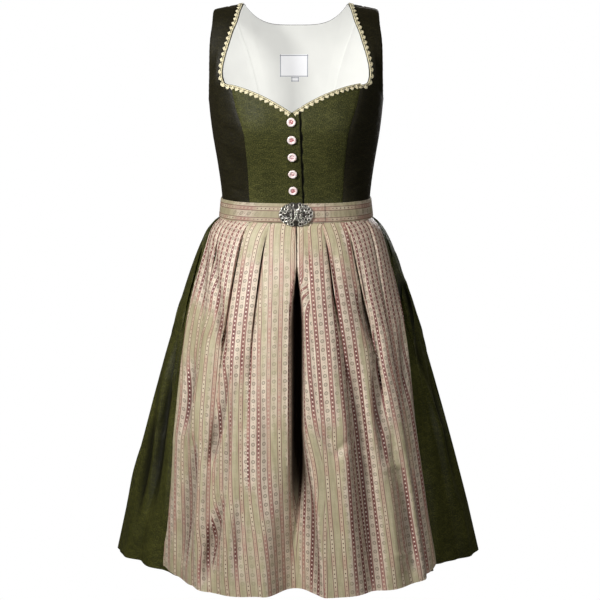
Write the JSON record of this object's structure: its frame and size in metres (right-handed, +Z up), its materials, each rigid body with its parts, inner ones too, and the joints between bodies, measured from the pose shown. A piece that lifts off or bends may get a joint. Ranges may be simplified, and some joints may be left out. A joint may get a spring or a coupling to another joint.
{
  "type": "dirndl dress with apron",
  "caption": "Sleeveless dirndl: fitted button-front bodice with trimmed heart-shaped neckline, pleated skirt, and striped apron closed by a filigree clasp at the waistband.",
  "frame": {"origin": "midway between the inner ends of the two shoulder seams, where the straps rest on the wearer's shoulders", "axes": "+Z up, -Y towards the front of the dress, +X towards the wearer's left"},
  "size_m": [0.6747, 0.5024, 1.0078],
  "materials": {
    "green_jacquard": "olive satin jacquard with small woven motifs",
    "striped_satin": "sage and old-rose striped satin with woven chain dots",
    "lining": "off-white plain-weave lining",
    "woven_label": "white woven satin with a grey border, no lettering",
    "picot_braid": "cream picot-edged braid",
    "button": "pearly rim with a rose enamel centre",
    "antique_silver": "cast filigree, blackened in the hollows"
  },
  "bodies": {
    "root": {"front_right": "green_jacquard", "front_left": "green_jacquard", "side_front_right": "green_jacquard", "side_front_left": "green_jacquard", "side_back_right": "green_jacquard", "side_back_left": "green_jacquard", "back": "green_jacquard", "side_back_right_lining": "lining", "side_back_left_lining": "lining", "back_lining": "lining", "label": "woven_label", "size_tab": "woven_label", "neck_trim_right": "picot_braid", "neck_trim_left": "picot_braid", "button_1": "button", "button_2": "button", "button_3": "button", "button_4": "button", "button_5": "button", "skirt_front": "green_jacquard", "skirt_back_left": "green_jacquard", "skirt_back_right": "green_jacquard", "apron": "striped_satin", "apron_band": "striped_satin", "loop_right": "striped_satin", "loop_left": "striped_satin", "clasp_right": "antique_silver", "clasp_left": "antique_silver"}
  },
  "joints": []
}
